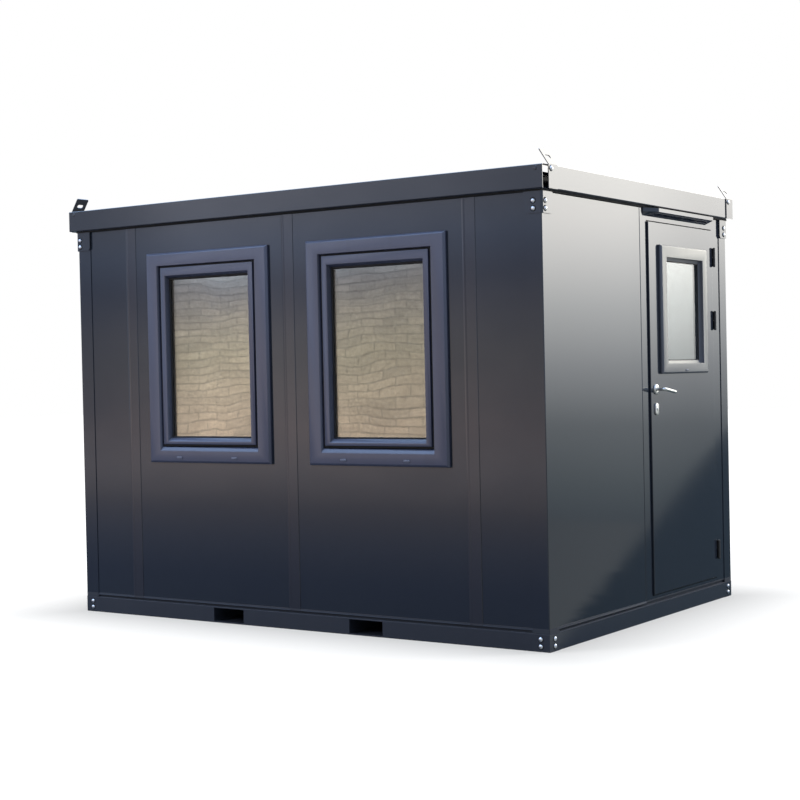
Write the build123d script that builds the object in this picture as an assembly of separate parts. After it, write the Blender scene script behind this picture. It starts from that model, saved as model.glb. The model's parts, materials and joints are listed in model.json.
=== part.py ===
from build123d import *
import os

# A flat-packed steel cabin used as a garden office. X runs along the windowed front, the front faces -Y,
# the door is in the +X end, Z is up, and the origin is on the ground under the middle of the cabin.

# How far a cutting block reaches past what it cuts
overrun = 10.0

# Base frame: folded channels on edge with two fork pockets across the cabin, and a seal under the walls
base_rail_height = 90.0
base_rail_depth = 100.0
base_rail_plate = 4.0
base_edge_radius = 4.0
base_seal_height = 14.0
base_seal_setback = 10.0
fork_opening_width = 213.0
fork_spacing = 930.0
fork_tube_wall = 4.0

# Floor board, laid on the inner edges of the base rails
floor_thickness = 22.0

# Corner posts: folded angles that stand on the base rails and wrap the ends of the wall panels
post_flange = 95.0
post_plate = 4.0
post_fold_radius = 4.0

# Brackets that come down from the roof over the heads of the posts
bracket_drop = 106.0
bracket_flange = 97.0
bracket_plate = 8.0
bracket_corner = 12.0

# Wall panels, and the strips over the joints between them
panel_thickness = 60.0
end_panel_width = 411.0
side_panel_width = 1009.0
strip_width = 76.0
strip_thickness = 3.0
strip_bevel = 2.0
joint_bevel = 4.0

# Windows of the front wall, each in the middle of its panel
window_width = 880.0
window_height = 1184.0
window_head_gap = 155.0
window_strip_gap = 92.0
window_side_face = 90.0
window_top_face = 75.0
window_bottom_face = 92.0
window_cover = 40.0
window_proud = 24.0
window_edge_bevel = 10.0
window_lip = 20.0
window_lip_thickness = 16.0
window_trim_thickness = 8.0
sash_side_seam = 15.0
sash_top_seam = 10.0
sash_bottom_seam = 12.0
sash_setback = 8.0
sash_side_face = 39.0
sash_top_face = 57.0
sash_bottom_face = 36.0
sash_bead = 10.0
sash_bead_depth = 28.0
glass_setback = 38.0
glass_thickness = 16.0

# Door leaf, a little proud of its frame, and the gap around it
leaf_width = 850.0
leaf_height = 2018.0
leaf_thickness = 44.0
leaf_proud = 10.0
leaf_gap = 7.0
leaf_edge_radius = 2.5

# Door frame around the leaf, with a stop behind it
lock_jamb_width = 80.0
hinge_jamb_width = 139.0
door_head_height = 64.0
door_sill_height = 25.0
stop_width = 22.0
stop_clearance = 5.5

# Drip hood over the door, with an upright lip, cut back at the lock side
hood_length = 828.0
hood_setback = 34.0
hood_rise = 22.0
hood_depth = 52.0
hood_lip = 20.0
hood_taper = 103.0
hood_end_depth = 6.0

# Fixed light in the door leaf
light_height = 706.0
light_top_gap = 119.0
light_lock_gap = 119.0
light_hinge_gap = 118.0
light_face = 66.0
light_proud = 20.0
light_bottom_face = 57.0
light_bead = 18.0
light_bead_setback = 18.0
light_glass_setback = 27.0

# Lift-off hinges: a sleeve on the leaf turns on a pin that stands up from the jamb
hinge_height = 104.0
hinge_barrel_radius = 8.0
hinge_pin_radius = 5.0
hinge_running_clearance = 0.1
hinge_part_gap = 0.5
hinge_flag_length = 13.0
hinge_flag_thickness = 3.0
hinge_flag_bite = 1.0
hinge_top_drop = 155.0
hinge_second_drop = 522.0
hinge_bottom_rise = 160.0

# Lever handles on one spindle, their roses, and the lock rosettes below them
lever_height = 1111.0
lever_backset = 60.0
lever_length = 131.0
lever_droop = 18.0
lever_radius = 9.0
lever_reach = 56.0
lever_bend = 16.0
lever_end_round = 7.0
spindle_radius = 5.0
lever_clearance = 0.3
spindle_clearance = 1.0
rose_radius = 28.0
rose_thickness = 9.0
lock_drop = 107.0
lock_length = 66.0
lock_width = 38.0
lock_thickness = 8.0
lock_barrel_radius = 8.5
lock_barrel_reach = 4.0

# Roof: a dark seal on the wall heads, a ribbed panel, and channel rails around it
seal_height = 8.0
roof_panel_thickness = 96.0
roof_rib_height = 14.0
roof_rib_width = 64.0
roof_rib_top_width = 36.0
roof_rib_pitch = 240.0
roof_rail_height = 116.0
roof_rail_depth = 90.0
roof_rail_plate = 4.0
roof_edge_radius = 5.0
roof_overhang = 42.0
rail_end_overhang = 31.0

# Lifting lugs: bent plates on the ends of the short roof rails
lug_plate = 5.0
lug_width = 89.0
lug_corner_overhang = 7.0
lug_rise = 80.0
lug_lean = 52.0
lug_slot_length = 46.0
lug_slot_width = 20.0
lug_corner = 5.0

# Places that follow from the sizes above
panel_pitch = window_width + strip_width + 2 * window_strip_gap
wall_x = panel_pitch + end_panel_width
room_y = (side_panel_width + lock_jamb_width + leaf_width + 2 * leaf_gap + hinge_jamb_width) / 2
wall_y = room_y + panel_thickness
room_x = wall_x - panel_thickness
cabin_x = wall_x + post_plate
cabin_y = wall_y + post_plate
wall_bottom = base_rail_height + base_seal_height
leaf_bottom = wall_bottom + door_sill_height + leaf_gap
leaf_top = leaf_bottom + leaf_height
wall_top = leaf_top + leaf_gap + door_head_height
roof_bottom = wall_top + seal_height
roof_top = roof_bottom + roof_rail_height
rail_x = cabin_x + roof_overhang
rail_y = cabin_y + roof_overhang
rail_end_x = cabin_x + rail_end_overhang
lock_jamb_start = side_panel_width - room_y
leaf_start = lock_jamb_start + lock_jamb_width + leaf_gap
leaf_end = leaf_start + leaf_width
leaf_face = wall_x + leaf_proud
leaf_inside = leaf_face - leaf_thickness
hinge_x = leaf_face + hinge_barrel_radius + hinge_flag_thickness - hinge_flag_bite
hinge_y = leaf_end + leaf_gap / 2
lever_y = leaf_start + lever_backset
lever_z = leaf_bottom + lever_height
lock_z = lever_z - lock_drop
window_z = wall_top - window_head_gap - window_height / 2
light_width = leaf_width - light_lock_gap - light_hinge_gap
light_y = leaf_start + light_lock_gap + light_width / 2
light_z = leaf_top - light_top_gap - light_height / 2
hinge_levels = (leaf_top - hinge_top_drop, leaf_top - hinge_second_drop,
                leaf_bottom + hinge_bottom_rise)

os.makedirs("parts", exist_ok=True)


def save(name, *solids):
    shape = solids[0] if len(solids) == 1 else Compound(children=list(solids))
    export_step(shape, os.path.join("parts", name + ".step"))


def block(x, y, z):
    """A box between two values on each axis, given in either order."""
    low = Vector(min(x), min(y), min(z))
    size = (abs(x[1] - x[0]), abs(y[1] - y[0]), abs(z[1] - z[0]))
    return Pos(low) * Box(*size, align=(Align.MIN, Align.MIN, Align.MIN))


def outline(width, height):
    """An upright rectangle around the Y axis, as half its width, its foot and its head."""
    return (width / 2, -height / 2, height / 2)


def inset(shape, side, top, bottom):
    half, foot, head = shape
    return (half - side, foot + bottom, head - top)


def shrink(shape, margin):
    return inset(shape, margin, margin, margin)


def slab(shape, y):
    half, foot, head = shape
    return block((-half, half), y, (foot, head))


def ring(outer, inner, y):
    """An upright frame between two rectangles."""
    return slab(outer, y) - slab(inner, (min(y) - overrun, max(y) + overrun))


def bevel_front(frame, outside, length, depth):
    """Bevels the outer or the inner edges of a frame's front face, which faces -Y."""
    face = frame.faces().sort_by(Axis.Y)[0]
    wire = face.outer_wire() if outside else face.inner_wires()[0]
    return frame.chamfer(length, depth, wire.edges())


def both_ways(solid):
    """The solid and its mirror image across the middle of the cabin, left to right."""
    return [solid, mirror(solid, Plane.YZ)]


def round_outer_edges(rail, along, outward, radius):
    """Rounds the two long outer edges of a rail's web."""
    edges = rail.edges().filter_by(along).group_by(lambda e: e.center().dot(outward))[-1]
    return rail.fillet(radius, edges)


def channel_along_x(face_y, depth, plate, ends, z):
    """A channel whose web is at face_y and whose flanges run towards the middle of the cabin."""
    inward = -1 if face_y > 0 else 1
    whole = block(ends, (face_y, face_y + inward * depth), z)
    room = block((ends[0] - overrun, ends[1] + overrun),
                 (face_y + inward * plate, face_y + inward * (depth + overrun)),
                 (z[0] + plate, z[1] - plate))
    return whole - room


def channel_along_y(face_x, depth, plate, ends, z):
    """As channel_along_x, for the two short sides."""
    inward = -1 if face_x > 0 else 1
    whole = block((face_x, face_x + inward * depth), ends, z)
    room = block((face_x + inward * plate, face_x + inward * (depth + overrun)),
                 (ends[0] - overrun, ends[1] + overrun),
                 (z[0] + plate, z[1] - plate))
    return whole - room


def fork_holes(y, margin, z):
    """Blocks that fill the two fork pockets, grown sideways by a margin."""
    half = fork_opening_width / 2 + margin
    middles = (-fork_spacing / 2, fork_spacing / 2)
    return [block((x - half, x + half), y, z) for x in middles]


def make_base():
    rail_z = (0, base_rail_height)
    pocket_z = (base_rail_plate + fork_tube_wall, base_rail_height - base_rail_plate - fork_tube_wall)
    side_end = cabin_y - base_rail_depth
    for name, sign in (("front", -1), ("back", 1)):
        rail = channel_along_x(sign * cabin_y, base_rail_depth, base_rail_plate, (-cabin_x, cabin_x), rail_z)
        for end in (-cabin_x, cabin_x):
            inner_end = end - base_rail_plate if end > 0 else end + base_rail_plate
            rail += block((end, inner_end), (sign * cabin_y, sign * side_end), rail_z)
        rail = round_outer_edges(rail, Axis.X, Vector(0, sign, 0), base_edge_radius)
        for hole in fork_holes((sign * cabin_y - overrun, sign * cabin_y + overrun), 0, pocket_z):
            rail -= hole
        save("base_rail_" + name, rail)
    for name, sign in (("left", -1), ("right", 1)):
        rail = channel_along_y(sign * cabin_x, base_rail_depth, base_rail_plate,
                               (-side_end, side_end), rail_z)
        save("base_rail_" + name,
             round_outer_edges(rail, Axis.Y, Vector(sign, 0, 0), base_edge_radius))
    tube_end = cabin_y - base_rail_plate
    outsides = fork_holes((-tube_end, tube_end), fork_tube_wall,
                          (base_rail_plate, base_rail_height - base_rail_plate))
    insides = fork_holes((-tube_end - overrun, tube_end + overrun), 0, pocket_z)
    save("fork_pockets", *[outside - inside for outside, inside in zip(outsides, insides)])
    save("floor_board", block((-room_x, room_x), (-room_y, room_y),
                              (base_rail_height, base_rail_height + floor_thickness)))
    save("base_seal", wall_ring(base_seal_setback, (base_rail_height, wall_bottom)))


def wall_ring(setback, z):
    """A flat ring under or over the walls, set back from their outer faces."""
    ring_x = wall_x - setback
    ring_y = wall_y - setback
    return (block((-ring_x, ring_x), (-ring_y, ring_y), z)
            - block((-room_x, room_x), (-room_y, room_y), (z[0] - overrun, z[1] + overrun)))


def corner_angle(sign_x, sign_y, outside_x, outside_y, flange, plate, z):
    """An upright angle around a corner of the cabin."""
    return (block((sign_x * outside_x, sign_x * (outside_x - flange)),
                  (sign_y * outside_y, sign_y * (outside_y - plate)), z)
            + block((sign_x * outside_x, sign_x * (outside_x - plate)),
                    (sign_y * outside_y, sign_y * (outside_y - flange)), z))


def fold_edge(solid, sign_x, sign_y, radius):
    """Rounds the outer upright edge of a corner angle."""
    outward = Vector(sign_x, sign_y, 0)
    edge = solid.edges().filter_by(Axis.Z).sort_by(lambda e: e.center().dot(outward))[-1]
    return solid.fillet(radius, [edge])


def make_posts():
    brackets = []
    bracket_z = (wall_top - bracket_drop, wall_top)
    for name_y, sign_y in (("front", -1), ("back", 1)):
        for name_x, sign_x in (("left", -1), ("right", 1)):
            post = corner_angle(sign_x, sign_y, cabin_x, cabin_y, post_flange, post_plate,
                                (base_rail_height, wall_top))
            save("corner_post_" + name_y + "_" + name_x,
                 fold_edge(post, sign_x, sign_y, post_fold_radius))
            bracket = corner_angle(sign_x, sign_y, cabin_x + bracket_plate, cabin_y + bracket_plate,
                                   bracket_flange + bracket_plate, bracket_plate, bracket_z)
            bracket -= fold_space(sign_x, sign_y, bracket_z)
            bracket = fold_edge(bracket, sign_x, sign_y, post_fold_radius + bracket_plate)
            brackets.append(trim_bracket(bracket, sign_x, sign_y))
    save("roof_brackets", *brackets)


def fold_space(sign_x, sign_y, z):
    """The room of a post's corner, kept free inside a bracket."""
    return block((0, sign_x * cabin_x), (0, sign_y * cabin_y), z)


def trim_bracket(bracket, sign_x, sign_y):
    """Cuts the two lower free corners of a bracket off at an angle."""
    low = wall_top - bracket_drop
    side = bracket_corner * 2 ** 0.5
    reach = 2 * (bracket_plate + overrun)
    end_x = sign_x * (cabin_x - bracket_flange)
    end_y = sign_y * (cabin_y - bracket_flange)
    bracket -= Pos(end_x, sign_y * cabin_y, low) * Rot(0, 45, 0) * Box(side, reach, side)
    return bracket - Pos(sign_x * cabin_x, end_y, low) * Rot(45, 0, 0) * Box(reach, side, side)


def make_long_walls():
    z = (wall_bottom, wall_top)
    bays = (("left_end", -wall_x, -panel_pitch), ("left_window", -panel_pitch, 0),
            ("right_window", 0, panel_pitch), ("right_end", panel_pitch, wall_x))
    for name, start, end in bays:
        panel = block((start, end), (-wall_y, -room_y), z)
        if name.endswith("window"):
            opening = shrink(outline(window_width, window_height), window_cover)
            hole = slab(opening, (-overrun, panel_thickness + overrun))
            panel -= Pos((start + end) / 2, -wall_y, window_z) * hole
        save("front_panel_" + name, panel)
        save("back_panel_" + name.replace("window", "middle"), block((start, end), (wall_y, room_y), z))


def bevel_upright(solid, x, y, length):
    """Bevels the upright edge of a solid that is nearest to a place."""
    edge = solid.edges().filter_by(Axis.Z).sort_by_distance(Vector(x, y, (wall_bottom + wall_top) / 2))[0]
    return solid.chamfer(length, None, [edge])


def make_short_walls():
    z = (wall_bottom, wall_top)
    save("left_panel_front", block((-wall_x, -room_x), (-room_y, 0), z))
    save("left_panel_back", block((-wall_x, -room_x), (0, room_y), z))
    right = block((wall_x, room_x), (-room_y, lock_jamb_start), z)
    save("right_panel", bevel_upright(right, wall_x, lock_jamb_start, joint_bevel))


def make_joint_strips():
    strip = block((-strip_width / 2, strip_width / 2), (-strip_thickness, 0), (wall_bottom, wall_top))
    edges = strip.edges().filter_by(Axis.Z).group_by(Axis.Y)[0]
    strip = strip.chamfer(strip_bevel, None, edges)
    strips = [Pos(-wall_x, 0, 0) * Rot(0, 0, -90) * strip]
    for middle in (-panel_pitch, 0, panel_pitch):
        strips.append(Pos(middle, -wall_y, 0) * strip)
        strips.append(Pos(middle, wall_y, 0) * Rot(0, 0, 180) * strip)
    save("joint_strips", *strips)


def window_frame(outside, rebate, depth, seat):
    """A frame that covers a cut-out from both sides; its rebate ends at a lip behind the seat."""
    cut = shrink(outside, window_cover)
    cover = ring(outside, rebate, (-window_proud, 0))
    cover = bevel_front(cover, True, window_edge_bevel, window_edge_bevel)
    body = ring(cut, rebate, (0, depth))
    lip = ring(cut, shrink(rebate, window_lip), (seat, depth))
    trim = ring(outside, rebate, (depth, depth + window_trim_thickness))
    return cover + body + lip + trim


def make_windows():
    outside = outline(window_width, window_height)
    rebate = inset(outside, window_side_face, window_top_face, window_bottom_face)
    sash_outside = inset(rebate, sash_side_seam, sash_top_seam, sash_bottom_seam)
    glazed = inset(sash_outside, sash_side_face, sash_top_face, sash_bottom_face)
    front = sash_setback - window_proud
    seat = panel_thickness - window_lip_thickness
    frame = window_frame(outside, rebate, panel_thickness, seat)
    sash = bevel_front(ring(sash_outside, glazed, (front, seat)), False, sash_bead, sash_bead_depth)
    glass = slab(glazed, (front + glass_setback, front + glass_setback + glass_thickness))
    for name, x in (("left", -panel_pitch / 2), ("right", panel_pitch / 2)):
        place = Pos(x, -wall_y, window_z)
        save(name + "_window_frame", place * frame)
        save(name + "_window_sash", place * sash)
        save(name + "_window_glass", place * glass)


def make_door_frame():
    stop_x = (room_x, leaf_inside - stop_clearance)
    lock_end = leaf_start - leaf_gap
    hinge_start = leaf_end + leaf_gap
    head_bottom = leaf_top + leaf_gap
    sill_top = wall_bottom + door_sill_height
    upright_z = (wall_bottom, wall_top)
    stop_z = (sill_top, head_bottom - stop_width)
    lock_jamb = block((room_x, wall_x), (lock_jamb_start, lock_end), upright_z)
    lock_jamb = bevel_upright(lock_jamb, wall_x, lock_jamb_start, joint_bevel)
    save("door_jamb_lock_side",
         lock_jamb + block(stop_x, (lock_end, lock_end + stop_width), stop_z))
    save("door_jamb_hinge_side",
         block((room_x, wall_x), (hinge_start, room_y), upright_z)
         + block(stop_x, (hinge_start - stop_width, hinge_start), stop_z))
    save("door_head",
         block((room_x, wall_x), (lock_end, hinge_start), (head_bottom, wall_top))
         + block(stop_x, (lock_end, hinge_start), (head_bottom - stop_width, head_bottom)))
    save("door_sill", block((room_x, wall_x), (lock_end, hinge_start), (wall_bottom, sill_top)))


def hood_section(y, depth):
    tip_x = wall_x + depth
    return make_face(Polyline((wall_x, y, leaf_top + leaf_gap + hood_rise), (wall_x, y, wall_top),
                              (tip_x, y, wall_top), (tip_x, y, wall_top - hood_lip), close=True))


def make_hood():
    start = lock_jamb_start + hood_setback
    sections = [hood_section(start, hood_end_depth), hood_section(start + hood_taper, hood_depth),
                hood_section(start + hood_length, hood_depth)]
    save("door_hood", loft(sections, ruled=True))


def across(radius, x, y, z):
    """A round bar along X between two values."""
    middle = (x[0] + x[1]) / 2
    return Pos(middle, y, z) * Rot(0, 90, 0) * Cylinder(radius, abs(x[1] - x[0]))


def make_door():
    leaf = block((leaf_inside, leaf_face), (leaf_start, leaf_end), (leaf_bottom, leaf_top))
    leaf = leaf.fillet(leaf_edge_radius, leaf.faces().sort_by(Axis.X)[-1].edges())
    light = outline(light_width, light_height)
    place = Pos(leaf_face, light_y, light_z) * Rot(0, 0, 90)
    leaf -= place * slab(shrink(light, window_cover), (-overrun, leaf_thickness + overrun))
    leaf -= across(spindle_radius + spindle_clearance, (leaf_inside - overrun, leaf_face + overrun),
                   lever_y, lever_z)
    save("door_leaf", leaf)
    inside = inset(light, light_face, light_face, light_bottom_face)
    glazed = shrink(inside, light_bead)
    bead_start = light_bead_setback - light_proud
    glass_start = light_glass_setback - light_proud
    cover = ring(light, inside, (-light_proud, 0))
    cover = bevel_front(cover, True, window_edge_bevel, window_edge_bevel)
    rest = ring(shrink(light, window_cover), inside, (0, leaf_thickness))
    bead = ring(inside, glazed, (bead_start, leaf_thickness))
    trim = ring(light, glazed, (leaf_thickness, leaf_thickness + window_trim_thickness))
    save("door_light_frame", place * (cover + rest + bead + trim))
    save("door_light_glass", place * slab(glazed, (glass_start, glass_start + glass_thickness)))


def hinge_half(level, side, low_half):
    """One half of a hinge; side is +1 for the flag on the jamb and -1 for the flag on the leaf."""
    half_height = (hinge_height - hinge_part_gap) / 2
    z = (level - hinge_height / 2, level - hinge_height / 2 + half_height)
    if not low_half:
        z = (level + hinge_height / 2 - half_height, level + hinge_height / 2)
    barrel = Pos(hinge_x, hinge_y, (z[0] + z[1]) / 2) * Cylinder(hinge_barrel_radius, half_height)
    seat_x = wall_x if side > 0 else leaf_face
    flag_y = (hinge_y, hinge_y + side * hinge_flag_length)
    return barrel + block((seat_x, leaf_face + hinge_flag_thickness), flag_y, z)


def make_hinges():
    pins = []
    sleeves = []
    for level in hinge_levels:
        middle = Pos(hinge_x, hinge_y, level)
        pin = middle * Cylinder(hinge_pin_radius, hinge_height)
        bore = middle * Cylinder(hinge_pin_radius + hinge_running_clearance, hinge_height + overrun)
        pins.append(hinge_half(level, 1, True) + pin)
        sleeves.append(hinge_half(level, -1, False) - bore)
    save("hinge_pins", *pins)
    save("hinge_sleeves", *sleeves)


def lever(face_x, outward):
    """One lever: a round bar out of the leaf, bent towards the hinges and down, with a rounded end."""
    elbow_x = face_x + outward * lever_reach
    path = FilletPolyline((face_x + outward * lever_clearance, lever_y, lever_z),
                          (elbow_x, lever_y, lever_z),
                          (elbow_x, lever_y + lever_length, lever_z - lever_droop), radius=lever_bend)
    bar = sweep(Plane(path @ 0, z_dir=path % 0) * Circle(lever_radius), path)
    end = bar.faces().sort_by(Axis.Y)[-1]
    return bar.fillet(lever_end_round, end.edges())


def make_handle():
    neck = lever_reach - lever_bend
    spindle = across(spindle_radius, (leaf_inside - neck, leaf_face + neck), lever_y, lever_z)
    save("lever_handle", lever(leaf_face, 1) + lever(leaf_inside, -1) + spindle)
    plates = []
    for face_x, outward in ((leaf_face, 1), (leaf_inside, -1)):
        rose_end = face_x + outward * rose_thickness
        rose = across(rose_radius, (face_x, rose_end), lever_y, lever_z)
        hole_x = (face_x - outward * overrun, rose_end + outward * overrun)
        plates.append(rose - across(lever_radius + lever_clearance, hole_x, lever_y, lever_z))
        lock_plane = Plane((face_x, lever_y, lock_z), x_dir=(0, 0, 1), z_dir=(outward, 0, 0))
        oval = extrude(lock_plane * SlotOverall(lock_length, lock_width), lock_thickness)
        barrel_end = face_x + outward * (lock_thickness + lock_barrel_reach)
        plates.append(oval + across(lock_barrel_radius, (face_x, barrel_end), lever_y, lock_z))
    save("handle_roses", *plates)


def add_ribs(panel, half_length, half_width):
    """Raised ribs across the roof, from front to back, as in a profiled sheet."""
    foot = roof_rib_width / 2
    crown = roof_rib_top_width / 2
    low = roof_bottom + roof_panel_thickness
    high = low + roof_rib_height
    section = make_face(Polyline((-foot, -half_width, low), (-crown, -half_width, high),
                                 (crown, -half_width, high), (foot, -half_width, low), close=True))
    rib = extrude(section, 2 * half_width, dir=(0, 1, 0))
    count = int(2 * half_length / roof_rib_pitch)
    for number in range(count):
        panel += Pos((number - (count - 1) / 2) * roof_rib_pitch, 0, 0) * rib
    return panel


def make_roof():
    save("roof_seal", wall_ring(-post_plate - bracket_plate, (wall_top, roof_bottom)))
    panel_x = rail_x - roof_rail_depth
    panel_y = rail_y - roof_rail_depth
    panel = block((-panel_x, panel_x), (-panel_y, panel_y), (roof_bottom, roof_bottom + roof_panel_thickness))
    save("roof_panel", add_ribs(panel, panel_x, panel_y))
    rail_z = (roof_bottom, roof_top)
    for name, sign in (("front", -1), ("back", 1)):
        rail = channel_along_x(sign * rail_y, roof_rail_depth, roof_rail_plate,
                               (-rail_end_x, rail_end_x), rail_z)
        save("roof_rail_" + name,
             round_outer_edges(rail, Axis.X, Vector(0, sign, 0), roof_edge_radius))
    for name, sign in (("left", -1), ("right", 1)):
        rail = channel_along_y(sign * rail_x, roof_rail_depth, roof_rail_plate,
                               (-panel_y, panel_y), rail_z)
        save("roof_rail_" + name,
             round_outer_edges(rail, Axis.Y, Vector(sign, 0, 0), roof_edge_radius))


def make_lugs():
    """Foot plates on the short rails' outer faces, bent inwards over the roof, with a slot for a hook."""
    slope = (lug_lean ** 2 + lug_rise ** 2) ** 0.5
    inset = Vector(-lug_rise, 0, -lug_lean) * (lug_plate / slope)
    bend = Vector(rail_x + lug_plate, 0, roof_top)
    tip = bend + Vector(-lug_lean, 0, lug_rise)
    root = Vector(rail_x, 0, roof_top)
    under = tip + inset
    foot = Vector(rail_x, 0, roof_bottom)
    section = Polyline(foot, foot + Vector(lug_plate, 0, 0), bend, tip, under, root, close=True)
    start = cabin_y + lug_corner_overhang - lug_width
    plate = Pos(0, start, 0) * extrude(make_face(section), lug_width, dir=(0, 1, 0))
    middle = (bend + tip + under + root) / 4 + Vector(0, start + lug_width / 2, 0)
    slot_plane = Plane(middle, x_dir=(0, 1, 0), z_dir=-inset.normalized())
    slot = slot_plane * SlotOverall(lug_slot_length, lug_slot_width)
    plate -= extrude(slot, lug_plate + overrun, both=True)
    corners = plate.edges().filter_by(inset_direction(inset)).sort_by(Axis.Z)[-2:]
    plate = plate.chamfer(lug_corner, None, corners)
    lugs = []
    for solid in both_ways(plate):
        lugs += [solid, mirror(solid, Plane.XZ)]
    save("lifting_lugs", *lugs)


def inset_direction(inset):
    return Axis((0, 0, 0), tuple(inset))


make_base()
make_posts()
make_long_walls()
make_short_walls()
make_joint_strips()
make_windows()
make_door_frame()
make_hood()
make_door()
make_hinges()
make_handle()
make_roof()
make_lugs()
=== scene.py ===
import json
import math

import bmesh
import bpy
from mathutils import Matrix, Vector


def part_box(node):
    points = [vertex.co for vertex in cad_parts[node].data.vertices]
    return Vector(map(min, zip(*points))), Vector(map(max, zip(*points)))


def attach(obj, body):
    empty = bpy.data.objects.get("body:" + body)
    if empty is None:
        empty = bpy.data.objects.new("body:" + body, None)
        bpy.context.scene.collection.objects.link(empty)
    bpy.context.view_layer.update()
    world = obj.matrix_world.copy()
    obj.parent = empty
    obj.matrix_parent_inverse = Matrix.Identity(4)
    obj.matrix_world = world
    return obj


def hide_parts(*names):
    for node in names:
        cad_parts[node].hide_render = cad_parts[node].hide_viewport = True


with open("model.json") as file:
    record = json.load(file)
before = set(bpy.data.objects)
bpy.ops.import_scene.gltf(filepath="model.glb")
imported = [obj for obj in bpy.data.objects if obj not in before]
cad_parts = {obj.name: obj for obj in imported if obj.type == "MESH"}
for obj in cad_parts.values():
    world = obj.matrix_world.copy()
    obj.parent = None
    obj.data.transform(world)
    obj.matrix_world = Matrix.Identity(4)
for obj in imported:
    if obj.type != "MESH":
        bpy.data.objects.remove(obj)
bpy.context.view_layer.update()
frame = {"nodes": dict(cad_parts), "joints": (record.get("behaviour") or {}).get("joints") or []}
nodes = frame["nodes"]
mm = 0.001


def lowOf(node):
    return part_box(node)[0]


def highOf(node):
    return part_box(node)[1]


# Faces of the cabin that the pieces below sit on
cabin = {
    "wallX": highOf("right_panel").x,
    "wallY": -lowOf("front_panel_left_end").y,
    "roomX": lowOf("right_panel").x,
    "roomY": -highOf("front_panel_left_end").y,
    "wallLow": lowOf("right_panel").z,
    "postX": highOf("corner_post_front_right").x,
    "postY": highOf("corner_post_back_right").y,
    "bracketX": highOf("roof_brackets").x,
    "bracketY": highOf("roof_brackets").y,
    "floorLow": lowOf("floor_board").z,
    "roofX": highOf("roof_rail_right").x,
    "roofY": highOf("roof_rail_back").y,
    "roofLow": lowOf("roof_rail_front").z,
    "roofHigh": highOf("roof_rail_front").z,
}
leafLow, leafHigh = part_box("door_leaf")
lightLow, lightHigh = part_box("door_light_frame")
leverAxis = Vector(next(j["pos_m"] for j in frame["joints"] if j["name"] == "handle_turn"))
hingeAxis = Vector(next(j["pos_m"] for j in frame["joints"] if j["name"] == "door_swing"))
print("frame loaded,", len(nodes), "CAD nodes")


class Wire:
    # one socket of a shader tree, so that values can be added and multiplied as in plain sums
    def __init__(self, tree, socket):
        self.tree = tree
        self.socket = socket

    def add(self, kind, settings=None, sockets=None, out=0):
        node = self.tree.nodes.new(kind)
        settings = dict(settings or {})
        stops = settings.pop("stops", [])
        for name, value in settings.items():
            setattr(node, name, value)
        for index, (position, colour) in enumerate(stops):
            elements = node.color_ramp.elements
            element = elements[0] if index == 0 else elements[len(elements) - 1]
            if 0 < index < len(stops) - 1:
                element = elements.new(position)
            element.position = position
            element.color = colour
        for name, value in (sockets or {}).items():
            if isinstance(value, Wire):
                self.tree.links.new(value.socket, node.inputs[name])
            else:
                node.inputs[name].default_value = value
        return Wire(self.tree, node.outputs[out])

    def calc(self, operation, first, second=0.0, clamp=False):
        settings = {"operation": operation, "use_clamp": clamp}
        return self.add("ShaderNodeMath", settings, {0: first, 1: second})

    def __add__(self, other):
        return self.calc("ADD", self, other)

    def __sub__(self, other):
        return self.calc("SUBTRACT", self, other)

    def __rsub__(self, other):
        return self.calc("SUBTRACT", other, self)

    def __mul__(self, other):
        return self.calc("MULTIPLY", self, other)

    def __truediv__(self, other):
        return self.calc("DIVIDE", self, other)

    def __pow__(self, other):
        return self.calc("POWER", self, other)

    def __lt__(self, other):
        return self.calc("LESS_THAN", self, other)

    def __gt__(self, other):
        return self.calc("GREATER_THAN", self, other)

    def __abs__(self):
        return self.calc("ABSOLUTE", self)

    __radd__ = __add__
    __rmul__ = __mul__

    def clamped(self):
        return self.calc("ADD", self, 0.0, clamp=True)

    def mix(self, first, second):  # two colours, by this value
        sockets = {0: self, 6: first, 7: second}
        return self.add("ShaderNodeMix", {"data_type": "RGBA"}, sockets, out=2)

    def times(self, other):  # this colour by another, or by a value
        settings = {"data_type": "RGBA", "blend_type": "MULTIPLY"}
        return self.add("ShaderNodeMix", settings, {0: 1.0, 6: self, 7: other}, out=2)

    def axis(self, index):
        return self.add("ShaderNodeSeparateXYZ", None, {0: self}, out=index)

    def stretched(self, scale):
        return self.add("ShaderNodeMapping", None, {"Vector": self, "Scale": scale})

    def noise(self, scale, detail):
        sockets = {"Vector": self, "Scale": scale, "Detail": detail}
        return self.add("ShaderNodeTexNoise", None, sockets)

    def ripple(self, scale, detail):  # noise about zero
        return self.noise(scale, detail) - 0.5

    def ramp(self, stops):  # this value as a colour
        return self.add("ShaderNodeValToRGB", {"stops": stops}, {0: self})

    def bump(self, strength, distance):
        sockets = {"Height": self, "Strength": strength, "Distance": distance}
        return self.add("ShaderNodeBump", None, sockets)

    def feed(self, shader, name):
        self.tree.links.new(self.socket, shader.inputs[name])


def grey(level):
    return (level, level, level, 1.0)


def startFinish(name, sockets):
    material = bpy.data.materials.new(name)
    material.use_nodes = True
    tree = material.node_tree
    shader = tree.nodes["Principled BSDF"]
    for socket, value in sockets.items():
        shader.inputs[socket].default_value = value
    here = Wire(tree, tree.nodes.new("ShaderNodeTexCoord").outputs["Object"])
    return material, shader, here


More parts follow.
